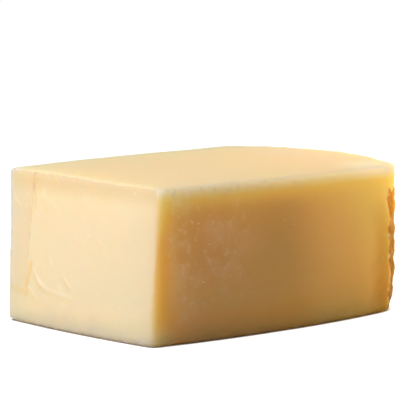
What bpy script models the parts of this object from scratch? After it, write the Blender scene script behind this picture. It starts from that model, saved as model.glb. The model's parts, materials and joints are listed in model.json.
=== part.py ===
"""A block of cheddar cut from a round-sided loaf of cheese.

The front, the left end and the back are cuts. The right end keeps the loaf's
rounded side with its rough, crumbly rind. The block lies on its flat base.
Lengths are in metres, +Z is up, and the origin is under the middle of the block.
"""
import math

import bmesh
import bpy
from mathutils import Vector, noise

# Heights. The top is a plane that starts at the front left corner.
HEIGHT = 0.0762
TOP_SLOPE = Vector((-0.0081, 0.0205))  # rise of the top along X and along Y

# The loaf's rounded side in plan, from the front left corner.
RIND_RADIUS = 0.0762
RIND_CENTRE = Vector((0.0890, 0.0440))
RIND_END = math.radians(67.8)  # where the back cut meets it
RIND_START = math.radians(-31.0)  # where its crags begin
FRONT_END_SLOPE = math.radians(10.0)  # direction of the front cut where its corner begins
BACK_BOW = 0.0020  # the back cut stands out by this much at its middle

# Plan of the cuts at the base and at the top, from the front left corner.
BASE = {
    "front": Vector((-0.0019, -0.0030)),
    "front_bow": Vector((0.0817, -0.0088)),
    "left": Vector((-0.0268, 0.0962)),
    "left_bow": 0.0022,
    "corner_angle": math.radians(-25.0),
    "corner_radius": 0.0130,
}
TOP = {
    "front": Vector((0.0037, -0.0012)),
    "front_bow": Vector((0.0738, 0.0)),
    "left": Vector((-0.0258, 0.0948)),
    "left_bow": -0.0004,
    "corner_angle": math.radians(-15.0),
    "corner_radius": 0.0160,
}
FOOT_INSET = 0.0046  # the rind draws in by this much at the base
FOOT_CURL = 3.2  # how close to the base it does so; higher is closer

# Surface.
EDGE_ROUNDING = 0.0017  # worn edges of the cuts
EDGE_SEGMENTS = 2
SHARP_EDGE = math.radians(26.0)  # edges that turn more than this are rounded
CRAG_DEPTH = 0.0011  # relief of the rind
CRAG_SIZE = 0.0090  # width of one crag
LUMP_DEPTH = 0.0007  # slow swells below the crags
LUMP_SIZE = 0.030
CUT_SWELL = 0.00035  # the cuts aren't quite flat
CUT_SWELL_SIZE = 0.045
LIFT = 0.004  # the relief grows to its full depth over this height above the base

# Grid of the solid. A turn in plan gets more columns: one radian counts as this length.
FACES_ALONG = 22
FACES_ACROSS = 26
FACES_UP = 14
TURN_LENGTH = 0.022
CURVE_STEPS = 40


def start_scene():
    for obj in list(bpy.data.objects):
        bpy.data.objects.remove(obj)


def blend(key, height):
    """A plan value between its base and its top."""
    return BASE[key] + (TOP[key] - BASE[key]) * height


def direction(angle):
    return Vector((math.cos(angle), math.sin(angle)))


def arc(centre, radius, start, end):
    steps = [start + (end - start) * i / CURVE_STEPS for i in range(CURVE_STEPS + 1)]
    return [centre + radius * direction(angle) for angle in steps]


def bowed(begin, end, bow):
    """A cut from begin to end that stands out to its left by bow at its middle."""
    across = (end - begin).normalized()
    outward = Vector((-across.y, across.x))
    shares = [i / CURVE_STEPS for i in range(CURVE_STEPS + 1)]
    return [begin.lerp(end, t) + outward * bow * math.sin(math.pi * t) for t in shares]


def front_cut(height, corner_start):
    """The front cut in plan: a shallow curve that ends in its corner's direction."""
    begin, bow = blend("front", height), blend("front_bow", height)
    shares = [i / CURVE_STEPS for i in range(CURVE_STEPS + 1)]
    return [(1 - t) ** 2 * begin + 2 * t * (1 - t) * bow + t * t * corner_start for t in shares]


def rind_radius(height):
    """Plan radius of the rounded side, which draws in towards the base."""
    return RIND_RADIUS - FOOT_INSET * math.exp(-FOOT_CURL * height)


def plan_sides(height):
    """The four sides in plan at a height from 0 to 1: front, right, back and left."""
    radius, corner_radius = rind_radius(height), blend("corner_radius", height)
    turn = blend("corner_angle", height)
    corner = RIND_CENTRE + (radius - corner_radius) * direction(turn)
    outward = FRONT_END_SLOPE - math.pi / 2
    middle = (outward + turn) / 2
    front = front_cut(height, corner + corner_radius * direction(outward))
    front += arc(corner, corner_radius, outward, middle)[1:]
    right = arc(corner, corner_radius, middle, turn)
    right += arc(RIND_CENTRE, radius, turn, RIND_END)[1:]
    left = bowed(front[0], blend("left", height), blend("left_bow", height))
    back = bowed(left[-1], right[-1], BACK_BOW)
    return (
        spread(front, FACES_ALONG),
        spread(right, FACES_ACROSS),
        spread(back, FACES_ALONG),
        spread(left, FACES_ACROSS),
    )


def spread(curve, count):
    """count + 1 points along a curve, evenly, but closer together where it turns."""
    reach = [0.0]
    for i in range(1, len(curve)):
        step = curve[i] - curve[i - 1]
        before = curve[i - 1] - curve[i - 2] if i > 1 else step
        reach.append(reach[-1] + step.length + TURN_LENGTH * step.angle(before, 0.0))
    points, i = [], 0
    for k in range(count + 1):
        wanted = reach[-1] * k / count
        while i < len(curve) - 2 and reach[i + 1] < wanted:
            i += 1
        share = (wanted - reach[i]) / (reach[i + 1] - reach[i])
        points.append(curve[i].lerp(curve[i + 1], min(share, 1.0)))
    return points


def plan_point(sides, i, j):
    """The point of column i and row j: the plan filled in between its four sides."""
    front, right, back, left = sides
    u, v = i / FACES_ALONG, j / FACES_ACROSS
    between = front[i] * (1 - v) + back[i] * v + left[j] * (1 - u) + right[j] * u
    corners = (front[0] * (1 - u) + front[-1] * u) * (1 - v)
    corners += (back[0] * (1 - u) + back[-1] * u) * v
    return between - corners


def grid_block():
    """A cube cut into a grid, whose points are then laid out on the block's form."""
    bpy.ops.mesh.primitive_cube_add(size=1.0, location=(0.0, 0.0, 0.0))
    block = bpy.context.object
    form = bmesh.new()
    form.from_mesh(block.data)
    counts = (FACES_ALONG, FACES_ACROSS, FACES_UP)
    for axis, count in enumerate(counts):
        edges = [e for e in form.edges if abs((e.verts[0].co - e.verts[1].co)[axis]) > 0.5]
        bmesh.ops.subdivide_edges(form, edges=edges, cuts=count - 1)
    levels = [plan_sides(k / FACES_UP) for k in range(FACES_UP + 1)]
    for vert in form.verts:
        i, j, k = (round((vert.co[axis] + 0.5) * counts[axis]) for axis in range(3))
        place = plan_point(levels[k], i, j)
        top = HEIGHT + TOP_SLOPE.dot(place)
        vert.co = (place.x, place.y, top * k / FACES_UP)
    return block, form


def round_edges(form):
    """Worn edges: every edge that turns sharply gets a small rounding."""
    sharp = [e for e in form.edges if e.calc_face_angle(0.0) > SHARP_EDGE]
    bmesh.ops.bevel(
        form,
        geom=sharp,
        offset=EDGE_ROUNDING,
        segments=EDGE_SEGMENTS,
        profile=0.5,
        affect="EDGES",
    )


def rind_share(place):
    """How much of the rind is at a place: 1 on the rounded side, 0 on the cuts."""
    away = Vector((place.x, place.y)) - RIND_CENTRE
    angle = math.atan2(away.y, away.x)
    begins = (angle - RIND_START) / math.radians(7.0)
    ends = (RIND_END - angle) / math.radians(4.0)
    depth = (away.length - 0.92 * RIND_RADIUS) / (0.03 * RIND_RADIUS)
    return max(0.0, min(1.0, begins, ends, depth))


def crag(place):
    """Height of the rind's relief at a place: crumbly lumps with creases between them."""
    near, second = noise.voronoi(place / CRAG_SIZE)[0][:2]
    crumb = min(1.0, (second - near) / 0.35) - 0.75
    return CRAG_DEPTH * crumb + LUMP_DEPTH * noise.noise(place / LUMP_SIZE)


def split_rind(form):
    """Halves the faces of the rind, so that they can carry its crags."""
    upright = [face for face in form.faces if abs(face.normal.z) < 0.6]
    craggy = [face for face in upright if rind_share(face.calc_center_median()) > 0.2]
    edges = {edge for face in craggy for edge in face.edges}
    bmesh.ops.subdivide_edges(form, edges=list(edges), cuts=1, use_grid_fill=True)


def roughen(form):
    """Crags on the rind and a slight swell on the cuts. The base stays flat."""
    form.normal_update()
    moves = []
    for vert in form.verts:
        share = rind_share(vert.co)
        lift = max(0.0, min(1.0, vert.co.z / LIFT))
        swell = CUT_SWELL * noise.noise(vert.co / CUT_SWELL_SIZE)
        outward = Vector((vert.normal.x, vert.normal.y, 0.4 * vert.normal.z))
        depth = crag(vert.co) * share
        moves.append((vert, (outward * depth + vert.normal * swell * (1 - share)) * lift))
    for vert, move in moves:
        vert.co += move


def flatten_base(form):
    """One flat face under the block."""
    under = [face for face in form.faces if all(vert.co.z < 1e-6 for vert in face.verts)]
    bmesh.ops.dissolve_faces(form, faces=under)


def centre(form):
    """Puts the origin under the middle of the block."""
    xs = [vert.co.x for vert in form.verts]
    ys = [vert.co.y for vert in form.verts]
    middle = Vector(((min(xs) + max(xs)) / 2, (min(ys) + max(ys)) / 2, 0.0))
    bmesh.ops.translate(form, vec=-middle, verts=form.verts)


def cheese_material():
    """Cheddar paste: pale, waxy and slightly damp."""
    material = bpy.data.materials.new("cheddar paste")
    material.use_nodes = True
    shader = material.node_tree.nodes["Principled BSDF"]
    shader.inputs["Base Color"].default_value = (0.87, 0.63, 0.31, 1.0)
    shader.inputs["Roughness"].default_value = 0.45
    shader.inputs["Metallic"].default_value = 0.0
    return material


def make_block():
    block, form = grid_block()
    round_edges(form)
    split_rind(form)
    roughen(form)
    flatten_base(form)
    centre(form)
    form.to_mesh(block.data)
    form.free()
    block.name = block.data.name = "cheddar_block"
    block.data.materials.append(cheese_material())
    block.data.shade_smooth()
    block.data.set_sharp_from_angle(angle=math.radians(50.0))
    return block


def main():
    start_scene()
    cheese = bpy.data.collections.new("cheddar")
    bpy.context.scene.collection.children.link(cheese)
    block = make_block()
    for home in list(block.users_collection):
        home.objects.unlink(block)
    cheese.objects.link(block)


main()
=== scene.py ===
"""Looks of a cut block of mature cheddar: pale, waxy cut faces and one rounded, torn rind end."""
import json
import math

import bpy
import numpy as np
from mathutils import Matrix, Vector, noise

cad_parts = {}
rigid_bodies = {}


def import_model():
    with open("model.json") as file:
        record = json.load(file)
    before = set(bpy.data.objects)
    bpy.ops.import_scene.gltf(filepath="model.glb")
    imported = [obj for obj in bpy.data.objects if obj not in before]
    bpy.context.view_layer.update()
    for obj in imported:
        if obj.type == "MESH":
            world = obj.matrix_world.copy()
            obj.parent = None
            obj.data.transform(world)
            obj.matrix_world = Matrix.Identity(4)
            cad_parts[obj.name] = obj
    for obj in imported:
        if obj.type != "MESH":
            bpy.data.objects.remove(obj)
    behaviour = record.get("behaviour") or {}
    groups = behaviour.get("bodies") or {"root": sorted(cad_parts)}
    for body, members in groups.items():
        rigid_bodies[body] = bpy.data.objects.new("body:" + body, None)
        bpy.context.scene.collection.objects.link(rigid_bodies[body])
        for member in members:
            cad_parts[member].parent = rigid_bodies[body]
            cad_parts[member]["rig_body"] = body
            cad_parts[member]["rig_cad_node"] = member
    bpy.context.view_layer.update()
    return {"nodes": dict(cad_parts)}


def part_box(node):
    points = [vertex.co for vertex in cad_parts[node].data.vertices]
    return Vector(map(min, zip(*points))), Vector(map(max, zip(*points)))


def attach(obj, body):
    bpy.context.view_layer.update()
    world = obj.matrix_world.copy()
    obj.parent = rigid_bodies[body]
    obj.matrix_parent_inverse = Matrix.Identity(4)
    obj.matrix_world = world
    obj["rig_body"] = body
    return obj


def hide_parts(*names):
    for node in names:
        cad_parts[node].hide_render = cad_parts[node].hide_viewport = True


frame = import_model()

MM = 0.001
NODE = "cheddar_block"
LOW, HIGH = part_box(NODE)
TALL = HIGH.z - LOW.z

# The front corner of the base, where the left cut meets the front cut.
LEFT_OVERHANG = 26.8 * MM  # the left cut's far end stands this much further left
FRONT_BOW = 4.6 * MM  # and the front cut bows this much further forward
CORNER = Vector((LOW.x + LEFT_OVERHANG, LOW.y + FRONT_BOW, 0.0))

TOP_AT_CORNER = 76.2 * MM  # height of the top there, and its rise along X and Y
TOP_SLOPE = (-0.0081, 0.0205)

# The left cut in plan, from the front corner.
LEFT_FROM = CORNER + Vector((0.0, -4.2, 0.0)) * MM
LEFT_RUN = Vector((-26.8, 99.2, 0.0)).normalized()
LEFT_OUT = Vector((-LEFT_RUN.y, LEFT_RUN.x, 0.0))

# The rind's rounded end in plan.
RIND_CENTRE = CORNER + Vector((89.0, 44.0, 0.0)) * MM
RIND_RADIUS = 76.2 * MM
RIND_START = math.radians(-31.0)
RIND_END = math.radians(67.8)

# The rind's tear runs on round the corner, over the last of the front cut, and further at the base.
# Under the top it stays behind the corner, where the skin is whole.
TEAR_FROM = RIND_CENTRE + Vector((math.cos(RIND_START), math.sin(RIND_START), 0.0)) * RIND_RADIUS
TEAR_RUN = Vector((math.cos(math.radians(10.0)), math.sin(math.radians(10.0)), 0.0))
TEAR_AT_BASE = 5.4 * MM
TEAR_AT_TOP = 2.0 * MM
TEAR_WANDER = 1.5 * MM
TEAR_SINK = 0.10 * MM  # the torn surface lies this much below the cuts
WHOLE_FROM = 61.0 * MM  # the skin of the corner is whole from this height up
WHOLE_WIDTH = 15.0 * MM
CRUMBS_ON_CUT = 7.0 * MM  # stray crumbs stick to the cut this far from the tear

# Meshing.
FACE = 1.4 * MM
MERGE = 0.01 * MM
EVENING = 3  # smoothing passes after the remesh
EDGE_PASSES = 8  # passes that spread the normals, to find the edges
NEAR_MARK = 3.4  # millimetres from a mark of the left cut within which faces are halved, and halved again
CLOSE_TO_MARK = 1.7

# The torn rind: broken curd in tilted flakes of three sizes, pits, crumbs and one large chip.
FLAKES = ((12.0 * MM, 1.5 * MM), (5.5 * MM, 0.8 * MM), (2.6 * MM, 0.4 * MM))  # width, and depth of the tilt
TEAR_PATTERN = 1  # another number gives flakes in other places
FLAKE_WARP = 0.30
FLAKE_STEP = 0.9 * MM  # width of the step from one flake to the next
CRUMB = 1.7 * MM
CRUMB_HEIGHT = 0.34 * MM
CRUMB_RARITY = 0.12  # higher leaves fewer crumbs
CUT_RARITY = 0.20  # added to it out on the cut
PIT = 5.6 * MM
PIT_DEPTH = 1.1 * MM
PIT_SHIFT = Vector((4.0, 1.0, 7.0))  # keeps the pits apart from the flakes
CHIP_ALONG = 0.6 * MM  # the large chip's middle, past the start of the rind and above the base
CHIP_LEVEL = 55.5 * MM
CHIP_WIDE = 5.4 * MM  # half its width and height, and its depth
CHIP_TALL = 8.4 * MM
CHIP_DEPTH = 0.9 * MM
CORNER_SWELL = 0.7 * MM  # the whole skin of the corner stands out a little
LIP_PASSES = 3  # how far relief is spread to find what stands out, and what lies deep
DIP_PASSES = 45
LIP_WIDTH = 0.9 * MM  # the chalky lip along the tear
LIP_CHALK = 0.75

# Cut faces: slow swells from the wire, and nicks along worn edges.
SWELL = 32.0 * MM
SWELL_DEPTH = 0.16 * MM
NICK = 3.2 * MM
NICK_DEPTH = 0.34 * MM

# Marks on the left cut: millimetres from the front corner, and millimetres up.
CREASE = [(84.7, 78.0), (84.8, 69.4), (85.6, 62.8), (86.5, 55.6), (87.4, 48.5), (87.9, 41.5), (88.5, 34.5)]
GROOVE = [(86.4, 31.4), (86.9, 27.6), (88.4, 23.4), (89.4, 19.0), (89.3, 15.2)]
SHELF = [(101.5, 17.3), (96.1, 16.5), (91.4, 16.2)]
STRIPE = [(83.2, 76.0), (83.4, 66.0), (84.2, 58.0)]  # amber paste beside the crease
SHELF_LEVEL = 16.4  # the paste beyond the crease lies deeper from here up
CURLS = [  # height, width and line of each, in millimetres
    (0.42, 1.0, [(84.4, 29.6), (82.4, 26.4), (80.4, 23.6), (78.0, 21.3), (74.8, 19.7), (72.0, 19.0)]),
    (0.28, 0.9, [(88.8, 19.8), (87.7, 19.4), (85.1, 16.6), (82.2, 14.5), (79.3, 12.8)]),
    (0.22, 0.7, [(62.6, 28.0), (60.0, 24.9), (57.4, 22.4), (56.2, 21.8)]),
    (0.16, 1.0, [(73.0, 20.3), (67.5, 18.6), (61.0, 18.2), (54.1, 16.9)]),
    (0.12, 0.8, [(84.8, 35.5), (82.6, 32.0), (81.6, 29.2)]),
    (0.14, 0.7, [(73.0, 36.5), (70.7, 30.7)]),
    (0.10, 0.6, [(38.9, 47.0), (31.9, 43.9)]),
    (0.10, 0.7, [(81.6, 57.1), (78.6, 54.4), (76.4, 50.6)]),
]
# Run, height and size of each grey patch of painted shade.
PAINTED_SHADE_PATCHES = [(98.0, 10.9, 4.5), (70.0, 10.2, 7.0), (58.0, 7.5, 6.0), (40.0, 5.0, 6.0), (88.5, 74.0, 2.4)]
MARKS = [CREASE, GROOVE, SHELF] + [line for _, _, line in CURLS]

# Places that the tones of the front cut are worked out from.
# The painted glow on the front cut, the top and the rind is centred on this corner.
THIN_CORNER = CORNER + Vector((148.0, 12.0, 72.0)) * MM  # the thin corner by the rind, under the top
BLOOM = CORNER + Vector((24.0, -4.0, 48.0)) * MM  # middle of the pale bloom by the front corner

# The view: low, from the front left, with a long lens.
VIEW_AIM = CORNER + Vector((25.0, -3.4, 69.6)) * MM
VIEW_DISTANCE = 1.0617
VIEW_AZIMUTH = -33.0
VIEW_ELEVATION = 8.5
FOCAL_LENGTH = 199.5


def deselect_all():
    if bpy.context.mode != "OBJECT":
        bpy.ops.object.mode_set(mode="OBJECT")
    bpy.ops.object.select_all(action="DESELECT")


def pick(piece):
    """Makes a piece the one that operators act on."""
    deselect_all()
    piece.select_set(True)
    bpy.context.view_layer.objects.active = piece


def apply_modifier(piece, kind, **settings):
    modifier = piece.modifiers.new(kind.lower(), kind)
    for key, value in settings.items():
        setattr(modifier, key, value)
    pick(piece)
    bpy.ops.object.modifier_apply(modifier=modifier.name)


def points_of(mesh):
    flat = np.zeros(len(mesh.vertices) * 3, np.float32)
    mesh.vertices.foreach_get("co", flat)
    return flat.reshape(-1, 3).astype(float)


def normals_of(mesh):
    flat = np.zeros(len(mesh.vertices) * 3, np.float32)
    mesh.vertex_normals.foreach_get("vector", flat)
    return flat.reshape(-1, 3).astype(float)


def smooth_step(value, low, high):
    share = np.clip((value - low) / (high - low), 0.0, 1.0)
    return share * share * (3 - 2 * share)


def bell(distance, width):
    return np.exp(-((distance / width) ** 2))


def keep(mesh, name, values):
    """Stores one value for each point, for the material to read."""
    layer = mesh.attributes.get(name) or mesh.attributes.new(name, "FLOAT", "POINT")
    layer.data.foreach_set("value", np.clip(values, 0.0, 1.0).astype(np.float32))


def kept(mesh, name):
    values = np.zeros(len(mesh.vertices), np.float32)
    mesh.attributes[name].data.foreach_get("value", values)
    return values.astype(float)


def noise_at(points, size, seed=0.0):
    """Smooth noise between -1 and 1, with features of the given size."""
    shift = Vector((seed, seed * 1.7, seed * 0.6))
    return np.array([noise.noise(Vector(p) / size + shift) for p in points])


def past_tear(points):
    """How far each point is inside the border of the torn rind; less than 0 on the cuts."""
    wander = (noise_at(points, 6.0 * MM, 3.0) + 0.5 * noise_at(points, 2.2 * MM, 8.0)) * TEAR_WANDER
    away = points[:, :2] - np.array(RIND_CENTRE.xy)
    angle = np.arctan2(away[:, 1], away[:, 0])
    on_cut = TEAR_AT_BASE + (TEAR_AT_TOP - TEAR_AT_BASE) * points[:, 2] / TALL
    ragged = noise_at(points, 9.0 * MM, 14.0) + 0.5 * noise_at(points, 3.0 * MM, 17.0)
    on_cut -= WHOLE_WIDTH * smooth_step(points[:, 2] + ragged * 6 * MM, WHOLE_FROM, WHOLE_FROM + 9 * MM)
    front = (points - np.array(TEAR_FROM)) @ np.array(TEAR_RUN) + on_cut
    back = (RIND_END - angle) * RIND_RADIUS
    front = np.where(angle > 0, RIND_RADIUS, front)
    return np.minimum(front, back) + wander


def rim_share(points, normals):
    """1 on the upright faces near the rounded end's outline, 0 inside and on the top."""
    away = points[:, :2] - np.array(RIND_CENTRE.xy)
    depth = np.hypot(away[:, 0], away[:, 1]) / RIND_RADIUS
    upright = smooth_step(np.hypot(normals[:, 0], normals[:, 1]), 0.40, 0.80)
    return smooth_step(depth, 0.74, 0.80) * upright


def rind_share(points, normals):
    """How much of the torn rind is at each point: 1 on the rounded end, 0 on the cuts."""
    return smooth_step(past_tear(points), -0.3 * MM, 0.5 * MM) * rim_share(points, normals)


def left_share(normals):
    return smooth_step(normals @ np.array(LEFT_OUT), 0.55, 0.85)


def on_left(points):
    """Run from the front corner and height on the left cut, in millimetres."""
    away = points - np.array(LEFT_FROM)
    return np.stack([away @ np.array(LEFT_RUN), away[:, 2]], axis=1) / MM


def reach(places, line):
    """Each place's distance to a line, and how far along the line its nearest point is."""
    corners = np.array(line, float)
    distance = np.full(len(places), np.inf)
    share = np.zeros(len(places))
    for i, (start, end) in enumerate(zip(corners[:-1], corners[1:])):
        edge = end - start
        part = np.clip(((places - start) @ edge) / (edge @ edge), 0.0, 1.0)
        gap = np.linalg.norm(places - start - part[:, None] * edge, axis=1)
        nearer = gap < distance
        distance[nearer] = gap[nearer]
        share[nearer] = ((i + part) / (len(corners) - 1))[nearer]
    return distance, share


def refine(piece, chosen):
    """Halves the faces whose corners are all chosen."""
    pick(piece)
    mesh = piece.data
    corners = np.zeros(len(mesh.loops), np.int32)
    mesh.loops.foreach_get("vertex_index", corners)
    starts = np.zeros(len(mesh.polygons), np.int32)
    mesh.polygons.foreach_get("loop_start", starts)
    flags = np.minimum.reduceat(chosen[corners].astype(np.int8), starts) > 0
    bpy.ops.object.mode_set(mode="EDIT")
    bpy.ops.mesh.select_mode(type="FACE")
    bpy.ops.mesh.select_all(action="DESELECT")
    bpy.ops.object.mode_set(mode="OBJECT")
    mesh.polygons.foreach_set("select", flags)
    bpy.ops.object.mode_set(mode="EDIT")
    bpy.ops.mesh.subdivide(number_cuts=1, smoothness=0.0)
    bpy.ops.object.mode_set(mode="OBJECT")


def fine_copy(solid):
    """A copy of the solid, merged, in even faces small enough for its marks."""
    pick(solid)
    bpy.ops.object.duplicate()
    block = bpy.context.object
    block.name = block.data.name = "cheddar"
    bpy.ops.object.parent_clear(type="CLEAR_KEEP_TRANSFORM")
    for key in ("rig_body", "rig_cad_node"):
        del block[key]
    bpy.ops.object.mode_set(mode="EDIT")
    bpy.ops.mesh.select_all(action="SELECT")
    bpy.ops.mesh.remove_doubles(threshold=MERGE)
    bpy.ops.object.mode_set(mode="OBJECT")
    apply_modifier(block, "REMESH", mode="VOXEL", voxel_size=FACE, adaptivity=0.0)
    apply_modifier(block, "SMOOTH", factor=0.5, iterations=EVENING)
    return block


def spread(mesh, values, passes):
    """Averages values with those of neighbouring points, over and over."""
    pairs = np.zeros(len(mesh.edges) * 2, np.int32)
    mesh.edges.foreach_get("vertices", pairs)
    pairs = pairs.reshape(-1, 2)
    count = np.bincount(pairs.ravel(), minlength=len(mesh.vertices)).astype(float)
    columns = []
    for column in np.atleast_2d(values.T):
        for _ in range(passes):
            total = np.bincount(pairs[:, 0], column[pairs[:, 1]], len(count))
            total += np.bincount(pairs[:, 1], column[pairs[:, 0]], len(count))
            column = (column + total / count) / 2
        columns.append(column)
    return np.array(columns).T


def find_edges(mesh):
    """Stores how close each point is to an edge: normals spread over it from both sides cancel out."""
    mixed = np.linalg.norm(spread(mesh, normals_of(mesh), EDGE_PASSES), axis=1)
    keep(mesh, "edge", smooth_step(1 - mixed, 0.02, 0.22))


def near_marks(mesh, within):
    """The points of the left cut that lie within some millimetres of one of its marks."""
    places = on_left(points_of(mesh))
    near = np.min([reach(places, line)[0] for line in MARKS], axis=0)
    return (left_share(normals_of(mesh)) > 0) & (near < within)


def refine_marks(block):
    """Makes the faces smaller along the edges and in the rind, and again at the marks of the left cut."""
    mesh = block.data
    points, normals = points_of(mesh), normals_of(mesh)
    chosen = (kept(mesh, "edge") > 0.12) & (points[:, 2] > 8 * MM)
    chosen |= (past_tear(points) > -CRUMBS_ON_CUT) & (rim_share(points, normals) > 0.02)
    refine(block, chosen | near_marks(mesh, NEAR_MARK))
    refine(block, near_marks(mesh, CLOSE_TO_MARK))


def curl_marks(places, broken):
    """Relief of the curled smears in millimetres, and how pale and how shaded they make each place."""
    relief = np.zeros(len(places))
    pale = np.zeros(len(places))
    shadow = np.zeros(len(places))
    for high, wide, curl in CURLS:
        gap, part = reach(places, curl)
        taper = np.sin(np.pi * np.clip(part, 0.04, 0.96)) ** 0.6
        wider = wide * (0.7 + 0.6 * part)
        relief += high * taper * bell(gap, wider)
        pale = np.maximum(pale, taper * broken * bell(gap, wider * 0.9) * min(1.0, high * 2.4))
        below, _ = reach(places + np.array((-0.5, 1.7)), curl)
        shadow = np.maximum(shadow, taper * bell(below, 1.5) * min(1.0, high * 2.0))
    return relief, pale, shadow


def left_marks(mesh, points, normals):
    """The left cut's fold, groove and curled smears, as relief. Stores where they are, with their painted
    shade.
    """
    there = left_share(normals)
    places = on_left(points)
    fold, down = reach(places, CREASE)
    groove, _ = reach(places, GROOVE)
    shelf, _ = reach(places, SHELF)
    stripe, _ = reach(places, STRIPE)
    line = np.array(sorted(CREASE + GROOVE[2:], key=lambda place: place[1]))
    beyond = smooth_step(places[:, 0] - np.interp(places[:, 1], line[:, 1], line[:, 0]), -0.4, 0.5)
    above = smooth_step(places[:, 1] - SHELF_LEVEL, -0.5, 0.5)
    broken = 0.30 + 0.70 * smooth_step(noise_at(points, 5.0 * MM, 21.0), -0.25, 0.25)
    faint = 1 - 0.7 * smooth_step(down, 0.45, 1.0)
    curled, pale, shadow = curl_marks(places, broken)
    relief = curled - 0.22 * beyond * above - 0.28 * bell(fold, 0.55) * broken * faint
    relief -= 0.30 * bell(groove, 1.1) + 0.12 * bell(shelf, 1.6)
    spots = [bell(np.hypot(places[:, 0] - x, places[:, 1] - z), size) for x, z, size in PAINTED_SHADE_PATCHES]
    # The groove and the shelf in painted shade, amber paste beside the crease, and a painted amber shadow
    # under each curl.
    ambers_and_painted_shade = [0.55 * bell(groove, 1.5), 0.40 * bell(stripe, 0.9), 0.35 * bell(shelf, 2.0), 0.40 * shadow]
    # A line of painted shade along the fold.
    keep(mesh, "fold", there * bell(fold, 0.42) * broken * faint)
    keep(mesh, "amber", there * np.max(ambers_and_painted_shade, axis=0))
    keep(mesh, "pale", there * pale)
    # Grey patches of painted shade.
    keep(mesh, "painted shade patch", there * np.max(spots, axis=0))
    keep(mesh, "left", there)
    # Painted light: the left cut is lightened here, near the front corner.
    keep(mesh, "left painted light by corner", there * (1 - smooth_step(places[:, 0], 1.0, 16.0)))
    keep(mesh, "beyond", there * beyond)
    return relief * there * MM


def flakes(place):
    """Relief of the broken curd at a place: every flake is a plane with its own tilt and level."""
    height = 0.0
    for turn, (wide, deep) in enumerate(FLAKES):
        warped = place / wide + noise.noise_vector(place / wide * 1.6) * FLAKE_WARP
        gaps, seeds = noise.voronoi(warped)
        shares = [math.exp((gaps[0] - gap) * wide / FLAKE_STEP) for gap in gaps]
        for share, seed in zip(shares, seeds):
            tilt = noise.noise_vector(seed * 5.1 + Vector((turn, 0.0, 0.0)))
            level = (warped - seed).dot(tilt) + 0.35 * noise.noise(seed * 3.7)
            height += level * deep * share / sum(shares)
    return height


def crumb_at(place, rarity):
    """Height from 0 to 1 of the crumb at a place, if there is one."""
    gaps, seeds = noise.voronoi(place / CRUMB)
    size = noise.noise(seeds[0] * 2.3) - rarity
    return min(1.0, max(0.0, 1 - gaps[0] / 0.50) * max(0.0, size) * 2.6)


def pit_at(place):
    """Depth from 0 to 1 of the pit at a place, if there is one."""
    bent = place / PIT + noise.noise_vector(place / PIT * 2.3) * 0.35 + PIT_SHIFT
    gaps, seeds = noise.voronoi(bent)
    wide = 0.55 * (noise.noise(seeds[0] * 4.7) - 0.02)
    if wide <= 0.06:
        return 0.0
    return max(0.0, 1 - gaps[0] / wide) * min(1.0, wide / 0.2)


def chip(points, along):
    """The one large chip in the corner of the tear: a glassy facet, 0 to 1."""
    ragged = noise_at(points, 4.0 * MM, 9.0) * 0.35
    aside = (along * MM - CHIP_ALONG) / CHIP_WIDE
    reached = np.hypot(aside, (points[:, 2] - CHIP_LEVEL) / CHIP_TALL) + ragged
    return (1 - smooth_step(reached, 0.60, 1.0)) * (points[:, 1] < RIND_CENTRE.y)


def broken_curd(points, past, rim):
    """The flakes' relief, and the crumbs and pits, at every point in the rind or near it."""
    relief = np.zeros(len(points))
    crumbs = np.zeros(len(points))
    pits = np.zeros(len(points))
    for i in np.nonzero((past > -CRUMBS_ON_CUT) & (rim > 0))[0]:
        place = Vector(points[i])
        on_cut = min(1.0, max(0.0, -past[i] / CRUMBS_ON_CUT))
        relief[i] = flakes(place)
        crumbs[i] = crumb_at(place, CRUMB_RARITY + CUT_RARITY * on_cut) * rim[i]
        pits[i] = pit_at(place)
    pits *= 1 - smooth_step(points[:, 2], WHOLE_FROM - 16 * MM, WHOLE_FROM - 6 * MM)
    return relief, crumbs, pits


def torn_rind(mesh, points, normals):
    """The rind's torn surface as relief. Stores where it is, its chalky places, and its deep and pitted ones,
    which take painted shade.
    """
    past = past_tear(points)
    rim = rim_share(points, normals)
    relief, crumbs, pits = broken_curd(points, past, rim)
    along = (points - np.array(TEAR_FROM)) @ np.array(TEAR_RUN) / MM
    glassy = chip(points, along) * rim
    share = np.maximum(rind_share(points, normals), glassy)
    deep = CHIP_DEPTH * (1 - 0.8 * smooth_step(along, 0.0, 5.0))
    relief = (relief - TEAR_SINK - PIT_DEPTH * pits) * (1 - glassy) - deep * glassy
    relief *= share
    whole = smooth_step(points[:, 2], WHOLE_FROM - 5 * MM, WHOLE_FROM + 5 * MM)
    relief += CORNER_SWELL * bell(along - 2.0, 7.0) * whole * rim * (1 - share)
    stands = relief - spread(mesh, relief, LIP_PASSES)[:, 0]
    lies = relief - spread(mesh, relief, DIP_PASSES)[:, 0]
    patchy = smooth_step(noise_at(points, 7.0 * MM, 11.0), -0.15, 0.35)
    chalk = smooth_step(stands, 0.02 * MM, 0.16 * MM) * smooth_step(past, -2.0 * MM, 0.0) * patchy
    uneven = smooth_step(noise_at(points, 3.2 * MM, 31.0), -0.12, 0.18)
    lip = LIP_CHALK * bell(past - 0.3 * MM, LIP_WIDTH) * uneven * rim
    # A pale lip round the chip, which also lifts the shadow of the chip's wall: partly painted light.
    ring = (4 * glassy * (1 - glassy)) ** 2 * (1 - smooth_step(along, -2.6, -0.6))
    keep(mesh, "rind", share)
    keep(mesh, "chalk", np.maximum.reduce([0.7 * chalk * (1 - glassy), crumbs, lip, ring]))
    # The hollows: the chip's glassy amber facet, and deep places, darker as painted shade.
    keep(mesh, "hollow", share * np.maximum(glassy, 0.65 * smooth_step(-lies, 0.15 * MM, 0.60 * MM)))
    # Pits: brown painted shade.
    keep(mesh, "pit", share * smooth_step(pits, 0.2, 0.9))
    return relief + CRUMB_HEIGHT * crumbs


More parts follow.
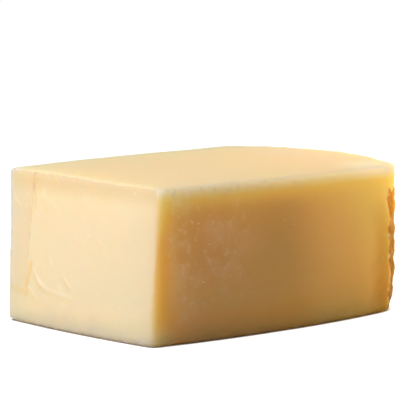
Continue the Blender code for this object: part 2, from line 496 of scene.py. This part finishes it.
def cut_faces(mesh, points):
    """Slow swells that the wire left, and nicks along the worn edges. Stores where they are dry or nicked."""
    swell = noise_at(points, SWELL, 2.0) * SWELL_DEPTH + noise_at(points, SWELL / 3, 6.0) * SWELL_DEPTH / 4
    nicks = np.maximum(0.0, noise_at(points, NICK, 5.0) - 0.12)
    edge = kept(mesh, "edge")
    by_top = smooth_step(points[:, 2], TALL - 26 * MM, TALL - 10 * MM)
    by_foot = smooth_step(points[:, 2], 3 * MM, 18 * MM)
    keep(mesh, "dry", smooth_step(edge, 0.35, 0.90) * (0.20 + 0.50 * by_foot + 0.30 * by_top))
    keep(mesh, "nick", smooth_step(edge, 0.2, 0.7) * nicks * 2.0)
    return swell - nicks * NICK_DEPTH * smooth_step(edge, 0.3, 0.9)


def find_faces(mesh, points, normals):
    """Stores where the front cut, the top and their borders are, and where painted glow, highlight and shade
    go on them.
    """
    front = smooth_step(-normals[:, 1], 0.40, 0.90)
    plan = points[:, :2] - np.array(CORNER.xy)
    below_top = TOP_AT_CORNER + plan @ np.array(TOP_SLOPE) - points[:, 2]
    facing = smooth_step(-normals @ np.array(LEFT_RUN), 0.08, 0.45)
    near_tear = smooth_step(past_tear(points), -17 * MM, -1 * MM) * smooth_step(below_top, 8 * MM, 34 * MM)
    keep(mesh, "front", front)
    keep(mesh, "top", smooth_step(normals[:, 2], 0.45, 0.95))
    # Painted light: a golden glow on the front cut by the front corner, stronger high up and lighter at its
    # foot.
    keep(mesh, "painted light by corner", front * (1 - smooth_step(plan[:, 0], 2 * MM, 16 * MM)))
    # The top rim of the front cut: pale dried paste, partly painted glow, and a painted highlight to the
    # right.
    keep(mesh, "rim", facing * (1 - smooth_step(below_top, 0.8 * MM, 7.2 * MM)))
    # A painted golden glow in a band below the rim, and painted shade near the tear.
    keep(mesh, "painted glow below rim", front * bell(below_top - 6.5 * MM, 4.5 * MM))
    keep(mesh, "painted shade by tear", front * near_tear)
    # Painted shade under the left cut's top edge.
    keep(mesh, "painted shade left rim", left_share(normals) * smooth_step(points[:, 2], TALL - 14 * MM, TALL - 3 * MM))


def sculpt(block):
    """Moves the points along their normals by the relief of each face, and keeps them in the block's box."""
    mesh = block.data
    points, normals = points_of(mesh), normals_of(mesh)
    find_faces(mesh, points, normals)
    relief = cut_faces(mesh, points) + left_marks(mesh, points, normals) + torn_rind(mesh, points, normals)
    standing = smooth_step(points[:, 2], 0.4 * MM, 3.0 * MM)
    moved = points + normals * (relief * standing)[:, None]
    moved[:, 2] = np.where(points[:, 2] < 0.4 * MM, 0.0, moved[:, 2])
    moved = np.clip(moved, np.array(LOW), np.array(HIGH))
    mesh.vertices.foreach_set("co", moved.astype(np.float32).ravel())
    mesh.update()
    mesh.shade_smooth()


def node(tree, kind, settings=None, links=None):
    """Adds a node with its settings and input links, and returns it."""
    made = tree.nodes.new(kind)
    for key, value in (settings or {}).items():
        setattr(made, key, value)
    for key, value in (links or {}).items():
        if isinstance(value, bpy.types.NodeSocket):
            tree.links.new(value, made.inputs[key])
        else:
            made.inputs[key].default_value = value
    return made


def colour(code, alpha=1.0):
    """An sRGB hex colour as the linear one that shaders take."""
    parts = [int(code[i:i + 2], 16) / 255 for i in (1, 3, 5)]
    return [p / 12.92 if p <= 0.04045 else ((p + 0.055) / 1.055) ** 2.4 for p in parts] + [alpha]


def laid(tree, tone, tints):
    """Lays tints over a tone, one by one. Each has its colour, its strength, and limits that all weaken it:
    the name of a value stored on the mesh, or a source with where the tint starts and where it is full."""
    for code, strength, *limits in tints:
        share = strength
        for limit in limits:
            if isinstance(limit, str):
                there = node(tree, "ShaderNodeAttribute", {"attribute_name": limit}).outputs["Fac"]
            else:
                source, start, full = limit
                there = node(tree, "ShaderNodeMapRange", {"interpolation_type": "SMOOTHSTEP"},
                             {"Value": source, "From Min": start, "From Max": full}).outputs["Result"]
            share = node(tree, "ShaderNodeMath", {"operation": "MULTIPLY"}, {0: there, 1: share}).outputs[0]
        mixed = node(tree, "ShaderNodeMix", {"data_type": "RGBA"}, {0: share, 6: tone, 7: colour(code)})
        tone = mixed.outputs[2]
    return tone


def curd_grain(tree, size, detail=2.0, rough=0.5, turn=(0.0, 0.0, 0.0)):
    """An uneven pattern on the block whose patches have the given size, or sizes along turned axes."""
    place = node(tree, "ShaderNodeTexCoord").outputs["Object"]
    sizes = size if isinstance(size, tuple) else (size, size, size)
    turned = node(tree, "ShaderNodeMapping", {"vector_type": "TEXTURE"},
                  {"Vector": place, "Rotation": turn, "Scale": sizes})
    return node(tree, "ShaderNodeTexNoise", {}, {"Vector": turned.outputs["Vector"], "Scale": 1.0,
                "Detail": detail, "Roughness": rough}).outputs["Fac"]


def away_from(tree, middle):
    """Distance from a place in the block."""
    place = node(tree, "ShaderNodeTexCoord").outputs["Object"]
    away = node(tree, "ShaderNodeVectorMath", {"operation": "DISTANCE"}, {0: place, 1: middle})
    return away.outputs["Value"]


def crystals(tree, apart):
    """Cells with one crystal each at most: the distance from it, and a random colour for each cell."""
    place = node(tree, "ShaderNodeTexCoord").outputs["Object"]
    cells = node(tree, "ShaderNodeTexVoronoi", {}, {"Vector": place, "Scale": 1.0 / apart, "Randomness": 1.0})
    chance = node(tree, "ShaderNodeSeparateColor", {}, {0: cells.outputs["Color"]})
    return cells.outputs["Distance"], chance.outputs


def face_tones(tree, x, z, painted_glow_reach):
    """Tones of the cuts and the top, without their marks: curd patches, a tone for each face set for its
    light, and painted glow and shade.
    """
    # Curds pressed together: soft patches, some creamier and some yellower.
    tone = laid(tree, colour("#EFD8A6"), [
        ("#F3DEB6", 0.80, (curd_grain(tree, 14 * MM), 0.45, 0.75)),
        ("#EBCB8C", 0.55, (curd_grain(tree, 9 * MM, 3.0), 0.55, 0.80)),
    ])
    # Each face has its own tone, set for the light that falls on it: painted light and shade, face by face.
    # The left cut is palest, warmer past its fold, warmer and lighter at its foot and by the front corner in
    # painted light, and darker under its top edge in painted shade. The top is more peachy, and greyer
    # towards the right in painted shade.
    # The front cut is deeper, with a painted golden glow by the front corner, stronger high up.
    tone = laid(tree, tone, [
        ("#E3DBBA", 0.80, "left"),
        ("#E3CBAA", 0.50, "beyond"),
        ("#FFE0AE", 1.00, "left", (z, 22 * MM, 2 * MM)),
        ("#F0D6A6", 0.50, "left painted light by corner"),
        ("#D3BC92", 0.85, "painted shade left rim"),
        ("#FBDCAE", 0.85, "top"),
        ("#F0DCCA", 0.60, "top", (x, 35 * MM, 75 * MM)),
        ("#ECD194", 0.85, "front"),
        ("#F8C468", 0.80, "painted light by corner"),
        ("#FFDC8C", 0.80, "painted light by corner", (z, 46 * MM, 66 * MM)),
    ])
    # Painted light and shade: a pale painted glow on the front cut and the top near the corner by the rind,
    # where light passes best;
    # painted warm shade low on the front cut and at its foot; painted bands across the front cut, lighter,
    # darker, warmer and more olive;
    # painted shade by the tear, darker low down; and a painted golden glow below the rim.
    return laid(tree, tone, [
        ("#FBEFC9", 0.75, "front", (painted_glow_reach, 46 * MM, 4 * MM)),
        ("#FFFAE8", 0.65, "top", (painted_glow_reach, 30 * MM, 10 * MM)),
        ("#F6C070", 0.70, "front", (x, -60 * MM, 70 * MM), (z, 50 * MM, 4 * MM)),
        ("#FFBE78", 0.80, "front", (z, 22 * MM, 2 * MM)),
        ("#FFD7A0", 0.80, "painted light by corner", (z, 16 * MM, 2 * MM)),
        ("#E0C78E", 0.75, "front", (x, -22 * MM, 8 * MM), (x, 46 * MM, 8 * MM), (z, 8 * MM, 40 * MM)),
        ("#F9E4A8", 0.60, "front", (x, 8 * MM, 46 * MM), (x, 86 * MM, 66 * MM)),
        ("#EAE6A0", 0.45, "front", (x, 46 * MM, 64 * MM), (z, 16 * MM, 44 * MM)),
        ("#FFCE88", 0.45, "front", (x, 16 * MM, 42 * MM), (z, 36 * MM, 10 * MM)),
        ("#D2BC70", 0.90, "painted shade by tear"),
        ("#C9A058", 0.90, "painted shade by tear", (z, 44 * MM, 8 * MM)),
        ("#FFE19A", 0.65, "painted glow below rim"),
    ])


def marked_tones(tree, tone, x):
    """Adds smears, bloom, crystals, the marks of the left cut with their painted shade, the dry edges, and
    the rim with its painted highlight.
    """
    # Smears that slant down the left cut, where paste dragged behind the wire.
    slant = (math.radians(42.0), 0.0, 0.0)
    smear = curd_grain(tree, (20 * MM, 11 * MM, 3.6 * MM), 4.0, 0.6, slant)
    in_parts = (curd_grain(tree, 24 * MM, 1.0), 0.42, 0.62)
    tone = laid(tree, tone, [
        ("#F6E6CE", 0.62, (smear, 0.54, 0.76), "left", in_parts),
        ("#EBCD96", 0.45, (smear, 0.45, 0.26), "left", in_parts),
    ])
    # Pale bloom by the front corner, in soft clouds and small blotches, and crystals up to 0.8 mm across.
    past_edge = (x, CORNER.x + 4 * MM, CORNER.x + 13 * MM)
    in_bloom = ("front", past_edge, (away_from(tree, BLOOM), 48 * MM, 12 * MM))
    speck, chance = crystals(tree, 5 * MM)
    bloom_speck, bloom_chance = crystals(tree, 7 * MM)
    tone = laid(tree, tone, [
        ("#FBEADB", 0.36, (curd_grain(tree, 13 * MM, 3.0, 0.6), 0.44, 0.66), *in_bloom),
        ("#FFF4EA", 0.40, (curd_grain(tree, 3.6 * MM, 1.5), 0.58, 0.68), *in_bloom),
        ("#FBF4E4", 0.80, (speck, 0.09, 0.04), (chance["Red"], 0.60, 0.80)),
        ("#FFFFF8", 1.00, (bloom_speck, 0.10, 0.05), (bloom_chance["Green"], 0.25, 0.60), *in_bloom),
    ])
    # The marks of the left cut: amber in the groove and along the shelf, which is painted shade in these
    # recesses, amber paste beside the crease and a painted amber shadow under each curl; pale curls; grey
    # patches of painted shade; a painted line of
    # shade in the fold. Edges dry out first: greyish cream, paler still in their nicks.
    return laid(tree, tone, [
        ("#E6B84E", 0.75, "amber"),
        ("#F9EEDC", 0.75, "pale"),
        ("#DDCFB2", 0.22, "painted shade patch"),
        ("#BFA79A", 0.75, "fold"),
        ("#D4CBB8", 0.90, "dry", (curd_grain(tree, 5 * MM, 3.0), 0.15, 0.50)),
        # The rim: pale dried paste, also standing in for the glow along it, partly painted light; grey
        # touches on its left; near white to the right, a painted highlight.
        ("#F8ECD0", 0.95, "rim"),
        ("#DDD3CE", 0.45, "rim", (x, 40 * MM, -10 * MM), (curd_grain(tree, 4 * MM, 3.0), 0.52, 0.66)),
        ("#FFFDFA", 1.00, "rim", (x, 42 * MM, 84 * MM)),
        ("#FFFFFA", 0.90, "nick"),
    ])


def torn_tones(tree, z, painted_glow_reach):
    """The torn rind: dull ochre, darker low down as painted shade, a painted amber glow near the corner under
    the top, glassy amber in the hollows, deepened as painted shade, and brown painted shade in the pits.
    """
    return laid(tree, colour("#AA8450"), [
        ("#8E6A3A", 1.00, (curd_grain(tree, 7 * MM, 3.0), 0.40, 0.64)),
        ("#C4AA80", 0.70, (curd_grain(tree, 4 * MM, 4.0, 0.6), 0.56, 0.70)),
        ("#845629", 0.75, (z, 50 * MM, 4 * MM)),
        ("#CC983A", 0.85, (painted_glow_reach, 34 * MM, 16 * MM)),
        ("#A87408", 0.97, "hollow"),
        ("#643E18", 1.00, "pit"),
    ])


def cheddar_paste():
    """Mature cheddar paste, cut with a wire: waxy, damp and so translucent that light glows through its
    corners; that glow is also painted into its colour, with painted shade. Its rind end is torn, with chalky
    lips round glassy amber hollows."""
    material = bpy.data.materials.new("cheddar paste")
    material.use_nodes = True
    tree = material.node_tree
    shader = tree.nodes["Principled BSDF"]
    shader.inputs["IOR"].default_value = 1.46
    shader.inputs["Subsurface Weight"].default_value = 1.0
    shader.inputs["Subsurface Radius"].default_value = (1.0, 0.8, 0.5)
    shader.inputs["Subsurface Scale"].default_value = 50 * MM

    place = node(tree, "ShaderNodeTexCoord").outputs["Object"]
    axes = node(tree, "ShaderNodeSeparateXYZ", {}, {0: place})
    x, z = axes.outputs["X"], axes.outputs["Z"]
    painted_glow_reach = away_from(tree, THIN_CORNER)
    rind, chalk, hollow = (node(tree, "ShaderNodeAttribute", {"attribute_name": name}).outputs["Fac"]
                           for name in ("rind", "chalk", "hollow"))
    cuts = marked_tones(tree, face_tones(tree, x, z, painted_glow_reach), x)
    torn = torn_tones(tree, z, painted_glow_reach)
    tone = node(tree, "ShaderNodeMix", {"data_type": "RGBA"}, {0: rind, 6: cuts, 7: torn}).outputs[2]
    tone = laid(tree, tone, [("#ECE2CE", 0.85, "chalk")])
    tree.links.new(tone, shader.inputs["Base Color"])

    # Damp wax on the cuts, matt where dry or chalky, glassy in the hollows.
    sheen = node(tree, "ShaderNodeMapRange", {},
                 {"Value": curd_grain(tree, 7 * MM, 3.0), "To Min": 0.42, "To Max": 0.60})
    gloss = node(tree, "ShaderNodeMix", {}, {0: chalk, 2: sheen.outputs["Result"], 3: 0.85})
    gloss = node(tree, "ShaderNodeMix", {}, {0: hollow, 2: gloss.outputs[0], 3: 0.6})
    tree.links.new(gloss.outputs[0], shader.inputs["Roughness"])

    # Drag lines of the wire, a fine curd grain over everything, and crumbling on the rind.
    drag = node(tree, "ShaderNodeBump", {}, {"Strength": 0.35, "Distance": 0.10 * MM,
                "Height": curd_grain(tree, (45 * MM, 45 * MM, 1.1 * MM))})
    pores = node(tree, "ShaderNodeBump", {}, {"Strength": 0.45, "Distance": 0.12 * MM,
                 "Height": curd_grain(tree, 0.9 * MM, 4.0, 0.6), "Normal": drag.outputs["Normal"]})
    crumbling = node(tree, "ShaderNodeMath", {"operation": "MULTIPLY"},
                     {0: curd_grain(tree, 1.8 * MM, 5.0, 0.65), 1: rind})
    crumble = node(tree, "ShaderNodeBump", {}, {"Strength": 0.8, "Distance": 0.5 * MM,
                   "Height": crumbling.outputs[0], "Normal": pores.outputs["Normal"]})
    tree.links.new(crumble.outputs["Normal"], shader.inputs["Normal"])
    return material


def make_cheese():
    noise.seed_set(TEAR_PATTERN)
    block = fine_copy(frame["nodes"][NODE])
    find_edges(block.data)
    refine_marks(block)
    sculpt(block)
    block.data.materials.clear()
    block.data.materials.append(cheddar_paste())
    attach(block, "root")
    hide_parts(NODE)
    return block


def towards(azimuth, elevation):
    """Direction from the block, in degrees. Azimuth 0 is in front of it, 90 to its right."""
    turn, tilt = math.radians(azimuth), math.radians(elevation)
    return Vector((math.sin(turn) * math.cos(tilt), -math.cos(turn) * math.cos(tilt), math.sin(tilt)))


def softbox(name, azimuth, elevation, distance, size, watts, tint):
    """A square soft light that looks at the block."""
    light = bpy.data.lights.new(name, "AREA")
    light.shape = "SQUARE"
    light.size = size
    light.energy = watts
    light.color = colour(tint)[:3]
    lamp = bpy.data.objects.new(name, light)
    bpy.context.scene.collection.objects.link(lamp)
    out = towards(azimuth, elevation)
    lamp.location = (LOW + HIGH) / 2 + out * distance
    lamp.rotation_euler = out.to_track_quat("Z", "Y").to_euler()


def floor():
    """A plain pale floor that is white in the open, with a painted contact shadow close under the block."""
    bpy.ops.mesh.primitive_plane_add(size=16.0, location=(0.0, 0.0, -0.02 * MM))
    ground = bpy.context.object
    ground.name = "floor"
    material = bpy.data.materials.new("pale floor")
    material.use_nodes = True
    tree = material.node_tree
    shader = tree.nodes["Principled BSDF"]
    seen = node(tree, "ShaderNodeLightPath").outputs["Is Camera Ray"]
    # Seen from the camera the floor is grey under its white glow, which gives the painted contact shadow its
    # tone.
    shade = node(tree, "ShaderNodeMix", {"data_type": "RGBA"},
                 {0: seen, 6: colour("#CFC6B8"), 7: colour("#8C8886")})
    tree.links.new(shade.outputs[2], shader.inputs["Base Color"])
    shader.inputs["Roughness"].default_value = 0.9
    shader.inputs["Specular IOR Level"].default_value = 0.1
    # The glow fades close under the block by ambient occlusion: a painted contact shadow.
    close = node(tree, "ShaderNodeAmbientOcclusion", {"samples": 8}, {"Distance": 4 * MM})
    outside_painted_contact_shadow = node(tree, "ShaderNodeMapRange", {},
                       {"Value": close.outputs["AO"], "From Min": 0.3, "From Max": 0.7})
    glow = node(tree, "ShaderNodeMath", {"operation": "MULTIPLY"},
                {0: seen, 1: outside_painted_contact_shadow.outputs["Result"]})
    tree.links.new(glow.outputs[0], shader.inputs["Emission Strength"])
    shader.inputs["Emission Color"].default_value = (1, 1, 1, 1)
    ground.data.materials.append(material)


def surroundings():
    """A white room that gives the block almost no light of its own."""
    world = bpy.data.worlds.new("pale room")
    bpy.context.scene.world = world
    world.use_nodes = True
    tree = world.node_tree
    seen = node(tree, "ShaderNodeLightPath").outputs["Is Camera Ray"]
    shade = node(tree, "ShaderNodeMix", {"data_type": "RGBA"},
                 {0: seen, 6: (0.02, 0.02, 0.02, 1), 7: (1, 1, 1, 1)})
    tree.links.new(shade.outputs[2], tree.nodes["Background"].inputs["Color"])


def lights():
    """A white key and fill from the left, and warm light close to the rind that glows in the front cut."""
    softbox("key", -90, 15, 1.2, 0.5, 9.7, "#FFF8F9")
    softbox("fill", -105, 65, 1.2, 0.5, 8.4, "#FFF0EA")
    softbox("back", 150, 30, 1.2, 0.5, 2.2, "#E0F4DC")
    softbox("warm side", 70, 20, 0.38, 0.16, 0.55, "#FFDB96")
    softbox("amber side", 90, 20, 0.38, 0.16, 0.64, "#FFCF40")


def camera():
    lens = bpy.data.cameras.new("camera")
    lens.lens = FOCAL_LENGTH
    lens.sensor_width = 36.0
    lens.clip_start = 0.01
    lens.clip_end = 50.0
    eye = bpy.data.objects.new("camera", lens)
    bpy.context.scene.collection.objects.link(eye)
    out = towards(VIEW_AZIMUTH, VIEW_ELEVATION)
    eye.location = VIEW_AIM + out * VIEW_DISTANCE
    eye.rotation_euler = out.to_track_quat("Z", "Y").to_euler()
    bpy.context.scene.camera = eye
    bpy.context.scene.view_settings.view_transform = "Standard"


make_cheese()
floor()
surroundings()
lights()
camera()
